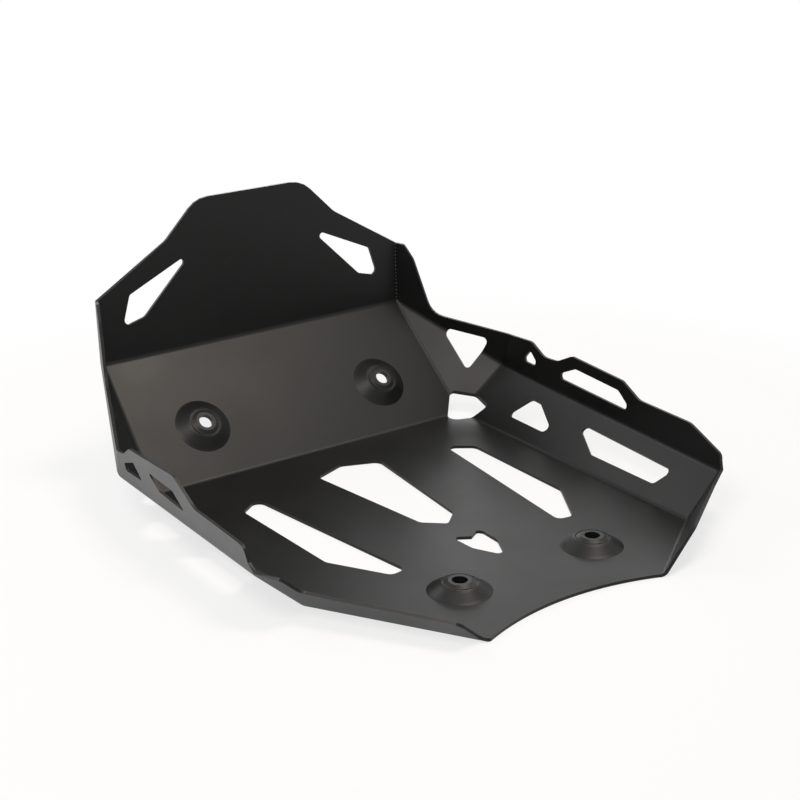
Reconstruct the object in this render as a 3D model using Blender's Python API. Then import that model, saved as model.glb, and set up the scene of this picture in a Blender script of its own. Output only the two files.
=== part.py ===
"""Motorcycle skid plate: one body of folded and welded sheet with four pressed mounting bosses.

World frame: +X is the right side of the plate, +Y its front and +Z up. The plate rests on the flat
underside of its base, with the middle of its bounding box over the origin. It is worked out in a
frame whose origin is the middle of the front fold, with the upper side of the base at zero height.
Sizes are in millimetres and become metres as the meshes are made.
The two side wings differ: the left one is shorter and flares out a little.
"""

import math
from collections import namedtuple

import bmesh
import bpy
from mathutils import Matrix, Vector

MM = 0.001

# Sheet and folds
SHEET = 2.0
FOLD_REACH = 1.6  # how far each side of a fold line the bend starts
FOLD_STEPS = 4
ARC_STEP = math.radians(15)  # turn of one straight piece of a rounded corner
CUT_DEPTH = 8.0  # how far a cutter reaches to each side of its panel
CUT_OVERRUN = 1.0  # how far a boss cutter runs past a face

# Base
OVERALL_HEIGHT = 171.2  # from the underside of the base to the top edge
HALF_WIDTH = 125.7
REAR_ARC_APEX = 266.2  # from the front fold to the deepest point of the rear edge
REAR_ARC_RADIUS = 176.7
REAR_ARC_SHIFT = -5.6  # of the deepest point, from the middle
REAR_ARC_STEPS = 24

# Front panels
LOWER_RISE = math.radians(42.6)
LOWER_LENGTH = 99.5
UPPER_RISE = math.radians(87.2)
UPPER_HALF_WIDTH = 121.5  # at the fold between the two front panels
SEAM_LENGTH = 44.4  # side edge of the upper panel, welded to the wall
SHOULDER_HALF_WIDTH = 68.3
SHOULDER_DROP = 25.6  # from the top edge down to where the outline turns out
SHOULDER_RADIUS = 12.0
CROWN_HALF_WIDTH = 42.3
CROWN_RADIUS = 23.0

# Corners of cutouts: first coordinate, second coordinate, corner radius.
# Kite of the upper panel: distance from the middle, height up the panel
KITE = ((47.0, 67.1, 2.3), (98.2, 44.3, 3.0), (104.9, 22.8, 3.4), (87.9, 27.2, 4.0))
# Cutouts of the base: distance from the middle, distance behind the front fold
BASE_SLOT = (
    (76.7, 44.3, 5.0),
    (94.2, 56.5, 7.0),
    (92.8, 147.8, 7.0),
    (70.7, 184.9, 5.0),
    (59.5, 183.2, 4.5),
)
CENTRE_OPENING = ((0.0, 28.5, 6.0), (25.2, 38.0, 6.0), (13.3, 135.7, 5.5), (0.0, 147.4, 2.5))
ARROW = ((0.0, 170.9, 1.2), (8.4, 165.8, 3.0), (10.6, 169.2, 2.0), (9.9, 184.3, 6.5), (0.0, 203.8, 3.5))
# Relief opening at each front corner of the base, cut along an axis that leans forward
CORNER_AXIS_TILT = math.radians(21.4)
CORNER_CUT_DEPTH = 22.0

# Pressed bosses
BOSS_FOOT_RADIUS = 19.0
BOSS_SEAT_RADIUS = 11.2
BOSS_HEIGHT = 5.6  # of the seat's rim over the sheet
BOSS_HOLE_RADIUS = 4.75
BOSS_SEGMENTS = 48
RING_GROOVE_RADIUS = 10.2
RING_GROOVE_WIDTH = 0.7
RING_GROOVE_DEPTH = 0.5
SEAT_RISE = 1.2  # of the flat round the hole over the seat's rim
SEAT_FLAT_RADIUS = 7.0
LOWER_BOSS = (72.8, 39.1)  # distance from the middle, height up the lower panel
BASE_BOSS = (51.1, 224.2)  # distance from the middle, distance behind the front fold

Wing = namedtuple(
    "Wing",
    "side rear_half_width side_length side_rise wall_start wall_end wall_fold_height wall_rake "
    "tail_half_width front_wall_top rear_wall_top wall_cutouts fold_cutout side_cutouts corner_opening flap_top",
)

# Side panels run back from the front fold: (distance back, width up the panel).
# The front stretch of a wall is measured (back from the seam, up from the fold at its foot),
# the rear stretch (back from its start, up from its own fold). The cutout over the fold between
# gusset and front wall is measured (down the fold, height over it), and the opening at the front
# corner of the base (outward, down from the corner), seen along its axis.
# A flap is measured (toward the tail, up the flap) from the rear corner of the base.
RIGHT_WING = Wing(
    side=1,
    rear_half_width=124.2,
    side_length=232.2,
    side_rise=math.radians(44.5),
    wall_start=(6.9, 45.9),
    wall_end=(231.2, 37.6),
    wall_fold_height=24.2,
    wall_rake=math.radians(11.3),
    tail_half_width=59.0,
    front_wall_top=((5.0, 43.7, 3.2), (13.0, 33.8, 12.0), (29.2, -5.4, 15.0)),
    rear_wall_top=(
        (28.6, 26.2, 8.0),
        (44.0, 19.4, 12.0),
        (58.4, 20.8, 12.0),
        (73.4, 29.1, 6.0),
        (126.0, 28.5, 6.0),
        (144.3, 20.6, 14.0),
        (193.0, 21.7, 12.0),
        (224.0, 10.8, 5.0),
    ),
    wall_cutouts=(
        ((28.7, 19.8, 2.8), (21.3, 10.1, 2.3), (41.2, 10.3, 2.6)),
        ((56.5, 10.0, 2.5), (78.8, 21.5, 6.0), (123.8, 20.9, 5.0), (140.6, 9.7, 3.0)),
    ),
    fold_cutout=((39.2, -0.3, 3.6), (75.0, 17.0, 3.3), (78.0, -11.8, 3.2)),
    side_cutouts=(
        ((53.2, 30.9, 4.2), (41.0, 12.9, 3.4), (93.2, 12.2, 3.8), (63.5, 30.3, 4.6)),
        ((103.4, 29.4, 3.0), (199.6, 25.5, 3.6), (191.8, 12.0, 3.8), (131.3, 12.2, 3.7)),
    ),
    corner_opening=((0.5, -17.0, 2.5), (-17.3, 7.2, 6.0), (9.5, 15.3, 3.0), (12.6, -1.8, 5.0)),
    flap_top=((-4.5, 28.3, 4.0), (5.2, 27.6, 4.0), (54.5, 24.0, 6.5)),
)
LEFT_WING = Wing(
    side=-1,
    rear_half_width=131.8,
    side_length=184.8,
    side_rise=math.radians(41.8),
    wall_start=(14.3, 41.5),
    wall_end=(185.4, 42.7),
    wall_fold_height=18.4,
    wall_rake=math.radians(15.3),
    tail_half_width=73.7,
    front_wall_top=((7.6, 44.8, 3.0), (15.4, 36.4, 12.0), (31.5, -1.0, 14.0)),
    rear_wall_top=(
        (14.6, 19.2, 6.0),
        (23.4, 25.4, 4.0),
        (83.1, 28.6, 6.0),
        (105.8, 15.3, 12.0),
        (163.5, 14.1, 8.0),
        (166.8, 5.3, 3.0),
    ),
    wall_cutouts=(
        ((13.7, 12.7, 1.2), (27.6, 17.8, 1.6), (37.6, 8.6, 0.8), (15.4, 8.0, 1.2)),
        ((48.4, 18.4, 0.7), (60.4, 9.8, 2.0), (93.0, 8.4, 0.7), (79.7, 17.6, 2.0)),
    ),
    fold_cutout=((17.0, 0.5, 2.5), (50.0, 8.0, 3.0), (46.0, -2.0, 2.0)),
    side_cutouts=(
        ((44.0, 31.0, 4.0), (31.0, 12.9, 4.0), (68.0, 12.2, 5.0), (57.0, 31.0, 4.0)),
        ((86.0, 30.0, 4.0), (142.0, 29.0, 4.0), (150.0, 25.0, 4.0), (140.0, 12.6, 5.0), (98.0, 12.8, 5.0)),
    ),
    corner_opening=((0.5, -6.5, 1.5), (-5.5, 3.0, 2.5), (6.0, 10.0, 2.0), (8.5, -1.2, 2.5)),
    flap_top=((-1.5, 37.4, 4.0), (4.9, 22.7, 5.0), (98.8, 18.4, 6.0), (106.4, 1.6, 6.0)),
)
WINGS = (LEFT_WING, RIGHT_WING)

COAT_COLOUR = (0.012, 0.012, 0.013, 1.0)
COAT_ROUGHNESS = 0.42

Frame = namedtuple("Frame", "origin across up normal")


def frame(origin, across, toward):
    """Plane through origin with its first axis along across, its second axis on the side of toward
    and its normal on the upper side."""
    across = across.normalized()
    up = (toward - across * toward.dot(across)).normalized()
    normal = across.cross(up)
    if normal.z < 0:
        normal.negate()
    return Frame(origin, across, up, normal)


def place(plane, a, b, c=0.0):
    """Point with the coordinates a, b and c in a frame."""
    return plane.origin + plane.across * a + plane.up * b + plane.normal * c


def base_frame():
    return frame(Vector((0, 0, 0)), Vector((1, 0, 0)), Vector((0, -1, 0)))


def lower_frame():
    slope = Vector((0, math.cos(LOWER_RISE), math.sin(LOWER_RISE)))
    return frame(Vector((0, 0, 0)), Vector((1, 0, 0)), slope)


def upper_frame():
    slope = Vector((0, math.cos(UPPER_RISE), math.sin(UPPER_RISE)))
    return frame(place(lower_frame(), 0, LOWER_LENGTH), Vector((1, 0, 0)), slope)


def crown_height():
    """Height of the top edge up the upper panel."""
    rise = OVERALL_HEIGHT - SHEET - LOWER_LENGTH * math.sin(LOWER_RISE)
    return rise / math.sin(UPPER_RISE)


def front_corner(wing):
    return Vector((wing.side * HALF_WIDTH, 0, 0))


def rear_corner(wing):
    return Vector((wing.side * wing.rear_half_width, -wing.side_length, 0))


def rear_arc_point(x):
    drop = REAR_ARC_RADIUS - math.sqrt(REAR_ARC_RADIUS**2 - (x - REAR_ARC_SHIFT) ** 2)
    return Vector((x, -REAR_ARC_APEX - drop, 0))


def tail_corner(wing):
    return rear_arc_point(wing.side * wing.tail_half_width)


def side_frame(wing):
    back = (rear_corner(wing) - front_corner(wing)).normalized()
    outward = Vector((-back.y, back.x, 0)) * wing.side
    slope = outward * math.cos(wing.side_rise) + Vector((0, 0, math.sin(wing.side_rise)))
    return frame(front_corner(wing), back, slope)


def seam_foot(wing):
    return place(upper_frame(), wing.side * UPPER_HALF_WIDTH, 0)


def seam_top(wing):
    return place(upper_frame(), wing.side * UPPER_HALF_WIDTH, SEAM_LENGTH)


def wall_start(wing):
    return place(side_frame(wing), *wing.wall_start)


def wall_end(wing):
    return place(side_frame(wing), *wing.wall_end)


def front_wall_frame(wing):
    """Front stretch of a wall, from the seam to the fold where the wall turns back."""
    along = wall_start(wing) - seam_foot(wing)
    along.z = 0
    return frame(seam_foot(wing), along, seam_top(wing) - seam_foot(wing))


def wall_fold_top(wing):
    across = front_wall_frame(wing).across
    direction = across * math.sin(wing.wall_rake) + Vector((0, 0, math.cos(wing.wall_rake)))
    return wall_start(wing) + direction * wing.wall_fold_height


def rear_wall_frame(wing):
    start = wall_start(wing)
    return frame(start, wall_end(wing) - start, wall_fold_top(wing) - start)


def flap_frame(wing):
    corner = rear_corner(wing)
    return frame(corner, tail_corner(wing) - corner, wall_end(wing) - corner)


def fold_cutout_frame(wing):
    """Plane square to the mean direction of gusset and front wall, along the fold between them."""
    foot = seam_foot(wing)
    fold = wall_start(wing) - foot
    wall_face = fold.cross(seam_top(wing) - foot).normalized()
    gusset_face = (front_corner(wing) - foot).cross(fold).normalized()
    return frame(foot, fold, (wall_face + gusset_face).cross(fold) * -1)


def corner_opening_frame(wing):
    down = Vector((0, -math.cos(CORNER_AXIS_TILT), -math.sin(CORNER_AXIS_TILT)))
    return frame(front_corner(wing), Vector((wing.side, 0, 0)), down)


def rounded(corners, first=None, last=None):
    """Points of an outline whose corners are (a, b, radius). With first and last the outline is
    open and runs between these two points; without them it is closed."""
    points = [Vector((a, b)) for a, b, _ in corners]
    if first is not None:
        points = [first] + points + [last]
        corners = [None] + list(corners)
        numbers = range(1, len(points) - 1)
    else:
        numbers = range(len(points))
    outline = []
    for i in numbers:
        outline += corner_arc(points[i - 1], points[i], points[(i + 1) % len(points)], corners[i][2])
    return outline


def corner_arc(before, here, after, radius):
    """Arc that rounds one corner, kept within half of the shorter side."""
    inward = (before - here).normalized()
    onward = (after - here).normalized()
    half = inward.angle(onward) / 2
    reach = min(radius / math.tan(half), 0.48 * min((before - here).length, (after - here).length))
    radius = reach * math.tan(half)
    centre = here + (inward + onward).normalized() * (radius / math.sin(half))
    start = here + inward * reach - centre
    end = here + onward * reach - centre
    first = math.atan2(start.y, start.x)
    swing = math.remainder(math.atan2(end.y, end.x) - first, math.tau)
    steps = max(1, math.ceil(abs(swing) / ARC_STEP))
    angles = [first + swing * k / steps for k in range(steps + 1)]
    return [centre + Vector((math.cos(angle), math.sin(angle))) * radius for angle in angles]


def whole(right_half):
    """Closed corner list from its right half, whose first and last corners are on the middle line."""
    return list(right_half) + [(-a, b, radius) for a, b, radius in right_half[-2:0:-1]]


def flat(plane, point):
    """Coordinates of a point in a plane."""
    arm = point - plane.origin
    return Vector((arm.dot(plane.across), arm.dot(plane.up)))


def base_panel():
    left, right = WINGS
    reach = left.tail_half_width + right.tail_half_width
    arc = [rear_arc_point(right.tail_half_width - reach * k / REAR_ARC_STEPS) for k in range(REAR_ARC_STEPS + 1)]
    return [front_corner(left), front_corner(right), rear_corner(right)] + arc + [rear_corner(left)]


def lower_panel():
    left, right = WINGS
    return [front_corner(left), front_corner(right), seam_foot(right), seam_foot(left)]


def upper_panel():
    left, right = WINGS
    plane = upper_frame()
    shoulder = (SHOULDER_HALF_WIDTH, crown_height() - SHOULDER_DROP, SHOULDER_RADIUS)
    crown_end = (CROWN_HALF_WIDTH, crown_height(), CROWN_RADIUS)
    top = [shoulder, crown_end] + [(-a, b, radius) for a, b, radius in (crown_end, shoulder)]
    outline = rounded(top, flat(plane, seam_top(right)), flat(plane, seam_top(left)))
    crown = [place(plane, *point) for point in outline]
    return [seam_foot(left), seam_foot(right), seam_top(right)] + crown + [seam_top(left)]


def gusset_panel(wing):
    return [front_corner(wing), seam_foot(wing), wall_start(wing)]


def side_panel(wing):
    return [front_corner(wing), wall_start(wing), wall_end(wing), rear_corner(wing)]


def front_wall_panel(wing):
    plane = front_wall_frame(wing)
    top = rounded(wing.front_wall_top, flat(plane, seam_top(wing)), flat(plane, wall_fold_top(wing)))
    outline = [place(plane, *point) for point in top]
    return [wall_start(wing), seam_foot(wing), seam_top(wing)] + outline + [wall_fold_top(wing)]


def rear_wall_panel(wing):
    plane = rear_wall_frame(wing)
    top = rounded(wing.rear_wall_top, flat(plane, wall_fold_top(wing)), flat(plane, wall_end(wing)))
    outline = [place(plane, *point) for point in top]
    return [wall_end(wing), wall_start(wing), wall_fold_top(wing)] + outline


def flap_panel(wing):
    plane = flap_frame(wing)
    top = rounded(wing.flap_top, flat(plane, wall_end(wing)), flat(plane, tail_corner(wing)))
    outline = [place(plane, *point) for point in top]
    return [rear_corner(wing), wall_end(wing)] + outline + [tail_corner(wing)]


def panels():
    faces = [base_panel(), lower_panel(), upper_panel()]
    for wing in WINGS:
        faces += [gusset_panel(wing), side_panel(wing), front_wall_panel(wing), rear_wall_panel(wing)]
        faces.append(flap_panel(wing))
    return faces


def is_weld(edge):
    """The seam between the upper panel and a wall stays sharp."""
    ends = [vert.co for vert in edge.verts]
    for wing in WINGS:
        seam = (seam_foot(wing), seam_top(wing))
        if all(min((end - point).length for point in seam) < FOLD_REACH / 2 for end in ends):
            return True
    return False


def clear_scene():
    for obj in list(bpy.data.objects):
        bpy.data.objects.remove(obj, do_unlink=True)


def new_object(name, bm):
    """Object in metres, raised so that the underside of the base is at zero height."""
    for vert in bm.verts:
        vert.co = (vert.co + Vector((0, 0, SHEET))) * MM
    mesh = bpy.data.meshes.new(name)
    bm.to_mesh(mesh)
    bm.free()
    obj = bpy.data.objects.new(name, mesh)
    bpy.context.scene.collection.objects.link(obj)
    return obj


def sheet_surface():
    """Inner surface of the folded sheet, with its bends."""
    bm = bmesh.new()
    for outline in panels():
        bm.faces.new([bm.verts.new(point) for point in outline])
    bmesh.ops.remove_doubles(bm, verts=bm.verts, dist=0.01)
    bmesh.ops.recalc_face_normals(bm, faces=bm.faces)
    widest = max(bm.faces, key=lambda face: face.calc_area())
    if widest.normal.z < 0:
        bmesh.ops.reverse_faces(bm, faces=bm.faces)
    folds = [edge for edge in bm.edges if len(edge.link_faces) == 2 and not is_weld(edge)]
    bmesh.ops.bevel(
        bm,
        geom=folds,
        offset=FOLD_REACH,
        offset_type="OFFSET",
        segments=FOLD_STEPS,
        profile=0.5,
        affect="EDGES",
        clamp_overlap=False,
    )
    return new_object("skid_plate", bm)


def add_prism(bm, plane, outline, depth):
    """Closed prism over an outline, reaching depth to both sides of its plane."""
    low = [bm.verts.new(place(plane, a, b, -depth)) for a, b in outline]
    high = [bm.verts.new(place(plane, a, b, depth)) for a, b in outline]
    bm.faces.new(low)
    bm.faces.new(high)
    for i in range(len(outline)):
        bm.faces.new((low[i - 1], low[i], high[i], high[i - 1]))


def add_turned(bm, plane, centre, profile):
    """Closed body of revolution about the plane's normal at centre; profile holds (radius, height)
    pairs and closes on itself, or on the axis where its first and last radius are zero."""
    rings = []
    for radius, height in profile:
        if radius == 0:
            rings.append([bm.verts.new(place(plane, *centre, height))])
            continue
        ring = []
        for k in range(BOSS_SEGMENTS):
            angle = math.tau * k / BOSS_SEGMENTS
            a = centre[0] + radius * math.cos(angle)
            b = centre[1] + radius * math.sin(angle)
            ring.append(bm.verts.new(place(plane, a, b, height)))
        rings.append(ring)
    closed = profile[0][0] > 0
    pairs = zip(rings, rings[1:] + rings[:1]) if closed else zip(rings, rings[1:])
    for low, high in pairs:
        for k in range(BOSS_SEGMENTS):
            loop = [low[k - 1], low[k]] if len(low) > 1 else [low[0]]
            loop += [high[k], high[k - 1]] if len(high) > 1 else [high[0]]
            bm.faces.new(loop)


def bosses():
    """Frame and centre of each boss."""
    places = []
    for side in (-1, 1):
        places.append((lower_frame(), (side * LOWER_BOSS[0], LOWER_BOSS[1])))
        places.append((base_frame(), (side * BASE_BOSS[0], BASE_BOSS[1])))
    return places


def flank_radius(height):
    """Radius of the cone's outer face at a height over the sheet."""
    return BOSS_FOOT_RADIUS + (BOSS_SEAT_RADIUS - BOSS_FOOT_RADIUS) * height / BOSS_HEIGHT


def boss_solids():
    """Outside of the cones; their feet and shoulders are eased."""
    buried = -SHEET / 2
    ease = 0.9
    profile = [
        (0, buried),
        (flank_radius(buried / 2) + ease, buried),
        (flank_radius(0) + ease, -0.2),
        (flank_radius(ease) + 0.15, ease + 0.1),
        (flank_radius(BOSS_HEIGHT - ease), BOSS_HEIGHT - ease),
        (flank_radius(BOSS_HEIGHT) + 0.1, BOSS_HEIGHT - ease / 4),
        (flank_radius(BOSS_HEIGHT) - ease / 2, BOSS_HEIGHT),
        (RING_GROOVE_RADIUS - RING_GROOVE_WIDTH, BOSS_HEIGHT),
        (SEAT_FLAT_RADIUS, BOSS_HEIGHT + SEAT_RISE),
        (0, BOSS_HEIGHT + SEAT_RISE),
    ]
    bm = bmesh.new()
    for plane, centre in bosses():
        add_turned(bm, plane, centre, profile)
    return cutter("boss_solids", bm)


def boss_voids(bm):
    """Hollow under each cone with the bolt hole, and the ring groove of its seat."""
    slant = math.hypot(BOSS_FOOT_RADIUS - BOSS_SEAT_RADIUS, BOSS_HEIGHT)
    wall = SHEET * slant / BOSS_HEIGHT
    below = -SHEET - CUT_OVERRUN
    above = BOSS_HEIGHT + SEAT_RISE + CUT_OVERRUN
    ceiling = BOSS_HEIGHT - SHEET
    hollow = [
        (0, below),
        (flank_radius(below) - wall, below),
        (flank_radius(ceiling) - wall, ceiling),
        (BOSS_HOLE_RADIUS, ceiling),
        (BOSS_HOLE_RADIUS, above),
        (0, above),
    ]
    inner = RING_GROOVE_RADIUS - RING_GROOVE_WIDTH / 2
    outer = RING_GROOVE_RADIUS + RING_GROOVE_WIDTH / 2
    floor = BOSS_HEIGHT - RING_GROOVE_DEPTH
    groove = [(inner, floor), (outer, floor), (outer, above), (inner, above)]
    for plane, centre in bosses():
        add_turned(bm, plane, centre, hollow)
        add_turned(bm, plane, centre, groove)


def cutouts():
    bm = bmesh.new()
    base = base_frame()
    add_prism(bm, base, rounded(whole(CENTRE_OPENING)), CUT_DEPTH)
    add_prism(bm, base, rounded(whole(ARROW)), CUT_DEPTH)
    for wing in WINGS:
        slot = [(a * wing.side, b, radius) for a, b, radius in BASE_SLOT]
        kite = [(a * wing.side, b, radius) for a, b, radius in KITE]
        add_prism(bm, base, rounded(slot), CUT_DEPTH)
        add_prism(bm, upper_frame(), rounded(kite), CUT_DEPTH)
        add_prism(bm, fold_cutout_frame(wing), rounded(wing.fold_cutout), 2 * CUT_DEPTH)
        add_prism(bm, corner_opening_frame(wing), rounded(wing.corner_opening), CORNER_CUT_DEPTH)
        for corners in wing.wall_cutouts:
            add_prism(bm, rear_wall_frame(wing), rounded(corners), CUT_DEPTH)
        for corners in wing.side_cutouts:
            add_prism(bm, side_frame(wing), rounded(corners), CUT_DEPTH)
    boss_voids(bm)
    return cutter("cutouts", bm)


def cutter(name, bm):
    bmesh.ops.recalc_face_normals(bm, faces=bm.faces)
    obj = new_object(name, bm)
    obj.hide_render = True
    obj.display_type = "WIRE"
    return obj


def add_boolean(obj, operation, operand):
    step = obj.modifiers.new(operand.name, "BOOLEAN")
    step.operation = operation
    step.solver = "EXACT"
    step.object = operand


def coat():
    material = bpy.data.materials.new("satin_black_coat")
    material.use_nodes = True
    shader = material.node_tree.nodes["Principled BSDF"]
    shader.inputs["Base Color"].default_value = COAT_COLOUR
    shader.inputs["Roughness"].default_value = COAT_ROUGHNESS
    return material


def centre_in_plan(plate, objects):
    """Move everything so that the finished plate's bounding box is centred on the vertical axis."""
    finished = plate.evaluated_get(bpy.context.evaluated_depsgraph_get())
    corners = [Vector(corner) for corner in finished.bound_box]
    low = [min(corner[axis] for corner in corners) for axis in (0, 1)]
    high = [max(corner[axis] for corner in corners) for axis in (0, 1)]
    middle = Vector(((low[0] + high[0]) / 2, (low[1] + high[1]) / 2, 0))
    for obj in objects:
        obj.data.transform(Matrix.Translation(-middle))


def main():
    clear_scene()
    plate = sheet_surface()
    thickness = plate.modifiers.new("sheet", "SOLIDIFY")
    thickness.thickness = SHEET * MM
    thickness.offset = -1
    thickness.use_even_offset = True
    thickness.use_quality_normals = True
    cones = boss_solids()
    openings = cutouts()
    add_boolean(plate, "UNION", cones)
    add_boolean(plate, "DIFFERENCE", openings)
    centre_in_plan(plate, (plate, cones, openings))
    plate.data.materials.append(coat())


main()
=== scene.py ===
"""Looks of the motorcycle skid plate: its coat, the welded seams, the studio and the camera.

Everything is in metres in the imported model's frame: +X is the right side of the plate, +Y its front
and +Z up, with the plate resting on the floor over the origin.
"""

import math
import random

import bmesh
import bpy
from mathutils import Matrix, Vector


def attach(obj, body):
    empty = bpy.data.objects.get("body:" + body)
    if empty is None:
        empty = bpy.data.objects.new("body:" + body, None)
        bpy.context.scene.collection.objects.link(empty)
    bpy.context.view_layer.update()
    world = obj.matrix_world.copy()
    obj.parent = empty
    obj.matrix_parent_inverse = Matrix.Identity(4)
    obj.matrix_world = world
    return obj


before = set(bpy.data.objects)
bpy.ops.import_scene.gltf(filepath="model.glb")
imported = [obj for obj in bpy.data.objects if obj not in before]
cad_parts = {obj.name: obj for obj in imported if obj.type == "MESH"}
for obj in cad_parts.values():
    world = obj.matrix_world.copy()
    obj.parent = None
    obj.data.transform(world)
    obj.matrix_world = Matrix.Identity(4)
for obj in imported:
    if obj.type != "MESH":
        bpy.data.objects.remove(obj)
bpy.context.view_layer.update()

MM = 0.001
WHITE = (1, 1, 1, 1)
NOISE_BULK = (0.3, 0.7)  # range in which most values of a noise lie

# Camera
CAMERA_PLACE = Vector((-0.6144, -0.8366, 0.4630))
CAMERA_YAW = math.radians(-36.28)
CAMERA_PITCH = math.radians(90 - 20.712)
CAMERA_LENS = 78.98
CAMERA_SENSOR = 36.0

# Studio
FLOOR_SIZE = 14.0
FLOOR_DROP = 0.0003
FLOOR_COLOUR = (0.86, 0.868, 0.882, 1.0)  # a trace of blue against the warm lamps
FLOOR_ROUGHNESS = 0.9
SHADOW_SHARE = 0.25  # how much of the floor's own shading the camera sees round the plate
SHADOW_REACH = 0.36  # radius round the plate in which the floor keeps its shading
SHADOW_FADE = 0.12
WORLD_STRENGTH = 0.15
SEEN_STRENGTH = 1.0  # of the floor and the world where the camera or a reflection sees them as white

# Spots of floor behind the holes of the two base bosses, which stay in the plate's shadow
SHADED_SPOTS = (Vector((-49.0, -124.5, 0.0)) * MM, Vector((53.2, -124.5, 0.0)) * MM)
SHADED_RADIUS = 17.5 * MM
SHADED_FADE = 1.0 * MM

# Lamps: name, azimuth and elevation in degrees, watts, colour. Azimuth 0 is behind the plate's rear
# edge and 90 is on its right side.
LAMP_TARGET = Vector((0.0, 0.0, 0.05))
LAMP_DISTANCE = 1.25
LAMP_SIZE = 0.5
NEUTRAL = (1.0, 1.0, 1.0)
WARM = (1.0, 0.90, 0.79)
FAINTLY_WARM = (1.0, 0.93, 0.87)
LAMPS = (
    ("top_softbox", 75, 72, 7.9, WARM),
    ("left_softbox", 300, 52, 7.6, FAINTLY_WARM),
    ("left_back_softbox", 210, 32, 3.9, NEUTRAL),
    ("right_back_softbox", 120, 32, 1.0, NEUTRAL),
    ("back_low_softbox", 150, 12, 2.6, NEUTRAL),
)

# Lamp on the floor beside the left front of the plate. It faces up, as a reflector would lie there,
# and lights the outer face of the left wall.
REFLECTOR_PLACE = Vector((-0.42, 0.12, 0.003))
REFLECTOR_SIZE = 0.5
REFLECTOR_WATTS = 1.0

# Coat. The scale of each noise is per metre.
COAT_DARK = (0.0025, 0.0025, 0.0026, 1)
COAT_LIGHT = (0.0045, 0.0044, 0.0042, 1)
COAT_SPECULAR = 0.25
COAT_ROUGHNESS = (0.37, 0.43)
CLOUD_SCALE = 22.0
CLOUD_DETAIL = 3.0
GRAIN_SCALE = 1400.0
GRAIN_DETAIL = 2.0
GRAIN_STRENGTH = 0.15
GRAIN_DEPTH = 0.04 * MM

# Wear along the sharp edges of the sheet, in patches, and most of all along the left flap's top edge,
# where the lighter warm colour is a painted highlight as well as wear
# Lighter warm colour of worn edges, which on the left flap's top edge is also a painted highlight
WORN_AND_HIGHLIGHT_COLOUR = (0.10, 0.078, 0.062, 1)
WEAR_WIDTH = 0.6 * MM
EDGE_SAMPLES = 6
EDGE_COSINES = (0.97, 0.80)  # between the true normal and the rounded one, for no and full wear
PATCH_SCALE = 60.0
PATCH_DETAIL = 4.0
PATCH_LEVELS = (0.55, 0.67)  # of the noise, for no and full wear or painted highlight
WORN_AND_HIGHLIGHT_SHARE = 0.8  # of the worn and highlight colour in the colour of a fully worn or highlighted edge
FLAP_RUB_AND_HIGHLIGHT_EDGE = Vector((-111.0, -139.0, 16.0)) * MM  # middle of the left flap's top edge, rubbed the most and given a painted highlight
FLAP_RUB_AND_HIGHLIGHT_RADIUS = 48.0 * MM
FLAP_RUB_AND_HIGHLIGHT_FADE = 14.0 * MM
FLAP_RUB_AND_HIGHLIGHT_LIFT = 0.14  # added to the noise there, for the rub and the painted highlight

# Welded seam between the upper front panel and each wall
SEAM_SIDES = (-119.4 * MM, 123.6 * MM)
SEAM_FOOT = (172.9 * MM, 69.4 * MM)  # distance forward and height
SEAM_TOP = (175.1 * MM, 112.2 * MM)
BEAD_RADIUS = 0.9 * MM
BEAD_SPREAD = (0.85, 1.15)  # smallest and largest radius as a share of BEAD_RADIUS
BEAD_COUNT = 17
BEAD_SEED = 7
WELD_COLOUR = (0.008, 0.008, 0.008, 1)
WELD_SPECULAR = 0.4
WELD_ROUGHNESS = (0.22, 0.36)
WELD_MOTTLE_SCALE = 500.0
WELD_MOTTLE_DETAIL = 2.0


def socket_value(node, name, value):
    node.inputs[name].default_value = value


def new_material(name):
    material = bpy.data.materials.new(name)
    material.use_nodes = True
    return material, material.node_tree.nodes, material.node_tree.links


def object_place(nodes):
    """Socket of the place on the object, in metres from its origin."""
    return nodes.new("ShaderNodeTexCoord").outputs["Object"]


def noise(nodes, links, place, scale, detail):
    node = nodes.new("ShaderNodeTexNoise")
    socket_value(node, "Scale", scale)
    socket_value(node, "Detail", detail)
    links.new(place, node.inputs["Vector"])
    return node.outputs["Fac"]


def mapped(nodes, links, value, source, target):
    """Value moved from the source pair to the target pair, and held at its ends."""
    node = nodes.new("ShaderNodeMapRange")
    socket_value(node, "From Min", source[0])
    socket_value(node, "From Max", source[1])
    socket_value(node, "To Min", target[0])
    socket_value(node, "To Max", target[1])
    links.new(value, node.inputs["Value"])
    return node.outputs["Result"]


def math_node(nodes, links, operation, first, second):
    """Socket of a Math node; each of first and second is a socket or a number."""
    node = nodes.new("ShaderNodeMath")
    node.operation = operation
    for socket, value in zip(node.inputs, (first, second)):
        if isinstance(value, (int, float)):
            socket.default_value = value
        else:
            links.new(value, socket)
    return node.outputs["Value"]


def nearness(nodes, links, place, centre, radius, fade):
    """One within radius of the centre, falling to zero over fade."""
    gap = nodes.new("ShaderNodeVectorMath")
    gap.operation = "DISTANCE"
    links.new(place, gap.inputs[0])
    gap.inputs[1].default_value = centre
    return mapped(nodes, links, gap.outputs["Value"], (radius, radius + fade), (1.0, 0.0))


def edge_mask(nodes, links):
    """One along the sharp edges of the sheet and zero on its faces."""
    bevel = nodes.new("ShaderNodeBevel")
    bevel.samples = EDGE_SAMPLES
    socket_value(bevel, "Radius", WEAR_WIDTH)
    geometry = nodes.new("ShaderNodeNewGeometry")
    turn = nodes.new("ShaderNodeVectorMath")
    turn.operation = "DOT_PRODUCT"
    links.new(bevel.outputs["Normal"], turn.inputs[0])
    links.new(geometry.outputs["True Normal"], turn.inputs[1])
    return mapped(nodes, links, turn.outputs["Value"], EDGE_COSINES, (0.0, 1.0))


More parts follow.
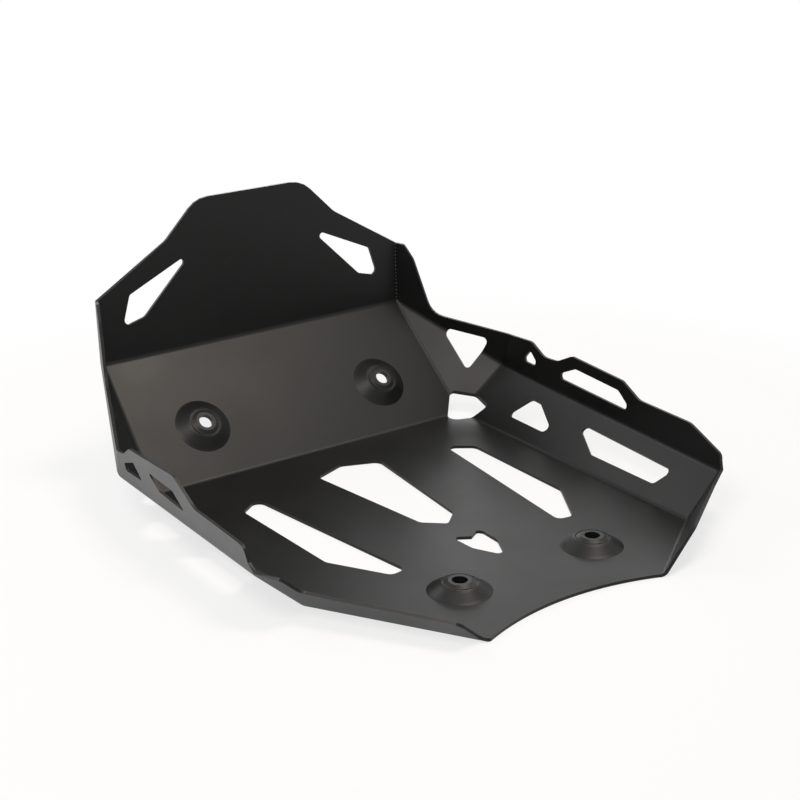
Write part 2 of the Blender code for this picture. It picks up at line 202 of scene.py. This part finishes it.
def wear_and_highlight(nodes, links, place):
    """Share of the worn and highlight colour in the coat's own colour: patches of wear along the
    sharp edges, raised on the left flap's top edge, where it is a painted highlight as well as wear.
    """
    patches = noise(nodes, links, place, PATCH_SCALE, PATCH_DETAIL)
    # Painted highlight and rub: near the left flap's top edge the noise is lifted, so the edge turns
    # to the lighter warm colour
    flap_rub_and_highlight = nearness(nodes, links, place, FLAP_RUB_AND_HIGHLIGHT_EDGE, FLAP_RUB_AND_HIGHLIGHT_RADIUS, FLAP_RUB_AND_HIGHLIGHT_FADE)
    rub_and_highlight_lift = math_node(nodes, links, "MULTIPLY", flap_rub_and_highlight, FLAP_RUB_AND_HIGHLIGHT_LIFT)
    level = math_node(nodes, links, "ADD", patches, rub_and_highlight_lift)
    wear_and_highlight_share = mapped(nodes, links, level, PATCH_LEVELS, (0.0, WORN_AND_HIGHLIGHT_SHARE))
    return math_node(nodes, links, "MULTIPLY", edge_mask(nodes, links), wear_and_highlight_share)


def coat_material():
    """Satin black powder coat with a fine grain, faint cloudiness and rubbed edges, and a painted
    highlight along the left flap's top edge.
    """
    material, nodes, links = new_material("satin_black_coat")
    shader = nodes["Principled BSDF"]
    socket_value(shader, "Specular IOR Level", COAT_SPECULAR)
    place = object_place(nodes)

    cloud = noise(nodes, links, place, CLOUD_SCALE, CLOUD_DETAIL)
    roughness = mapped(nodes, links, cloud, NOISE_BULK, COAT_ROUGHNESS)
    links.new(roughness, shader.inputs["Roughness"])

    tint = nodes.new("ShaderNodeValToRGB")
    tint.color_ramp.elements[0].color = COAT_DARK
    tint.color_ramp.elements[1].color = COAT_LIGHT
    links.new(cloud, tint.inputs["Fac"])

    colour = nodes.new("ShaderNodeMix")
    colour.data_type = "RGBA"
    # Worn edges, with the painted highlight on the left flap's top edge, mix in the lighter warm
    # colour
    links.new(wear_and_highlight(nodes, links, place), colour.inputs["Factor"])
    links.new(tint.outputs["Color"], colour.inputs["A"])
    socket_value(colour, "B", WORN_AND_HIGHLIGHT_COLOUR)
    links.new(colour.outputs["Result"], shader.inputs["Base Color"])

    bump = nodes.new("ShaderNodeBump")
    socket_value(bump, "Strength", GRAIN_STRENGTH)
    socket_value(bump, "Distance", GRAIN_DEPTH)
    links.new(noise(nodes, links, place, GRAIN_SCALE, GRAIN_DETAIL), bump.inputs["Height"])
    links.new(bump.outputs["Normal"], shader.inputs["Normal"])
    return material


def weld_material():
    """Coat drawn thin and smooth over the ripples of a weld."""
    material, nodes, links = new_material("coated_weld")
    shader = nodes["Principled BSDF"]
    socket_value(shader, "Base Color", WELD_COLOUR)
    socket_value(shader, "Specular IOR Level", WELD_SPECULAR)
    mottle = noise(nodes, links, object_place(nodes), WELD_MOTTLE_SCALE, WELD_MOTTLE_DETAIL)
    roughness = mapped(nodes, links, mottle, NOISE_BULK, WELD_ROUGHNESS)
    links.new(roughness, shader.inputs["Roughness"])
    return material


def seen_by_eye(nodes, links):
    """Socket that is one for camera, glossy and transmission rays, and zero for the others."""
    path = nodes.new("ShaderNodeLightPath").outputs
    seen = math_node(nodes, links, "MAXIMUM", path["Is Camera Ray"], path["Is Glossy Ray"])
    return math_node(nodes, links, "MAXIMUM", seen, path["Is Transmission Ray"])


def floor_material():
    """Plain white floor. Round the plate it keeps part of its own shading, and further out the
    camera and the reflections see it as an even white."""
    material, nodes, links = new_material("white_floor")
    shader = nodes["Principled BSDF"]
    socket_value(shader, "Base Color", FLOOR_COLOUR)
    socket_value(shader, "Roughness", FLOOR_ROUGHNESS)
    white = nodes.new("ShaderNodeEmission")
    socket_value(white, "Color", WHITE)
    socket_value(white, "Strength", SEEN_STRENGTH)
    place = object_place(nodes)
    around = nearness(nodes, links, place, (0, 0, 0), SHADOW_REACH, SHADOW_FADE)
    shaded = math_node(nodes, links, "MULTIPLY", around, SHADOW_SHARE)
    for spot in SHADED_SPOTS:
        under = nearness(nodes, links, place, spot, SHADED_RADIUS, SHADED_FADE)
        shaded = math_node(nodes, links, "MAXIMUM", shaded, under)
    even = math_node(nodes, links, "SUBTRACT", 1.0, shaded)
    share = math_node(nodes, links, "MULTIPLY", seen_by_eye(nodes, links), even)
    mix = nodes.new("ShaderNodeMixShader")
    links.new(share, mix.inputs["Fac"])
    links.new(shader.outputs["BSDF"], mix.inputs[1])
    links.new(white.outputs["Emission"], mix.inputs[2])
    links.new(mix.outputs["Shader"], nodes["Material Output"].inputs["Surface"])
    return material


def new_piece(name, bm, material):
    """Object made from the mesh in bm, which is freed."""
    mesh = bpy.data.meshes.new(name)
    bm.to_mesh(mesh)
    bm.free()
    obj = bpy.data.objects.new(name, mesh)
    obj.data.materials.append(material)
    bpy.context.scene.collection.objects.link(obj)
    return obj


def add_floor():
    bm = bmesh.new()
    bmesh.ops.create_grid(bm, x_segments=1, y_segments=1, size=FLOOR_SIZE / 2)
    floor = new_piece("studio_floor", bm, floor_material())
    floor.location.z = -FLOOR_DROP


def background(nodes, strength):
    node = nodes.new("ShaderNodeBackground")
    socket_value(node, "Color", WHITE)
    socket_value(node, "Strength", strength)
    return node.outputs["Background"]


def set_world():
    """Faint even light, which the camera and the reflections see as white."""
    world = bpy.data.worlds.new("studio_world")
    bpy.context.scene.world = world
    world.use_nodes = True
    nodes = world.node_tree.nodes
    links = world.node_tree.links
    nodes.clear()
    mix = nodes.new("ShaderNodeMixShader")
    out = nodes.new("ShaderNodeOutputWorld")
    links.new(seen_by_eye(nodes, links), mix.inputs["Fac"])
    links.new(background(nodes, WORLD_STRENGTH), mix.inputs[1])
    links.new(background(nodes, SEEN_STRENGTH), mix.inputs[2])
    links.new(mix.outputs["Shader"], out.inputs["Surface"])


def add_lamp(name, place, size, watts, colour, target):
    """Square lamp that faces the target and stays out of the camera's sight."""
    light = bpy.data.lights.new(name, "AREA")
    light.shape = "SQUARE"
    light.size = size
    light.energy = watts
    light.color = colour
    lamp = bpy.data.objects.new(name, light)
    lamp.location = place
    lamp.rotation_euler = (target - place).to_track_quat("-Z", "Y").to_euler()
    lamp.visible_camera = False
    bpy.context.scene.collection.objects.link(lamp)


def add_lamps():
    for name, azimuth, elevation, watts, colour in LAMPS:
        turn = math.radians(azimuth)
        rise = math.radians(elevation)
        level = math.cos(rise)
        direction = Vector((math.sin(turn) * level, -math.cos(turn) * level, math.sin(rise)))
        place = LAMP_TARGET + direction * LAMP_DISTANCE
        add_lamp(name, place, LAMP_SIZE, watts, colour, LAMP_TARGET)
    above = REFLECTOR_PLACE + Vector((0, 0, 1))
    add_lamp("left_reflector", REFLECTOR_PLACE, REFLECTOR_SIZE, REFLECTOR_WATTS, NEUTRAL, above)


def add_camera():
    lens = bpy.data.cameras.new("camera")
    lens.lens = CAMERA_LENS
    lens.sensor_width = CAMERA_SENSOR
    camera = bpy.data.objects.new("camera", lens)
    camera.location = CAMERA_PLACE
    camera.rotation_euler = (CAMERA_PITCH, 0, CAMERA_YAW)
    bpy.context.scene.collection.objects.link(camera)
    bpy.context.scene.camera = camera


def dress_plate():
    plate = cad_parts["skid_plate"]
    material = coat_material()
    for slot in plate.material_slots:
        slot.material = material


def add_seam(name, x, material, draw):
    """Row of overlapping weld ripples up the corner between the upper panel and a wall."""
    foot = Vector((x, *SEAM_FOOT))
    rise = Vector((x, *SEAM_TOP)) - foot
    bm = bmesh.new()
    for k in range(BEAD_COUNT):
        radius = BEAD_RADIUS * draw.uniform(*BEAD_SPREAD)
        spot = foot + rise * (k / (BEAD_COUNT - 1))
        ripple = bmesh.ops.create_icosphere(bm, subdivisions=2, radius=radius)["verts"]
        bmesh.ops.translate(bm, verts=ripple, vec=spot)
    seam = new_piece(name, bm, material)
    seam.data.shade_smooth()
    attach(seam, "root")


def main():
    bpy.context.scene.view_settings.view_transform = "Standard"
    dress_plate()
    draw = random.Random(BEAD_SEED)
    material = weld_material()
    for name, x in zip(("left_seam", "right_seam"), SEAM_SIDES):
        add_seam(name, x, material, draw)
    add_floor()
    set_world()
    add_lamps()
    add_camera()


main()
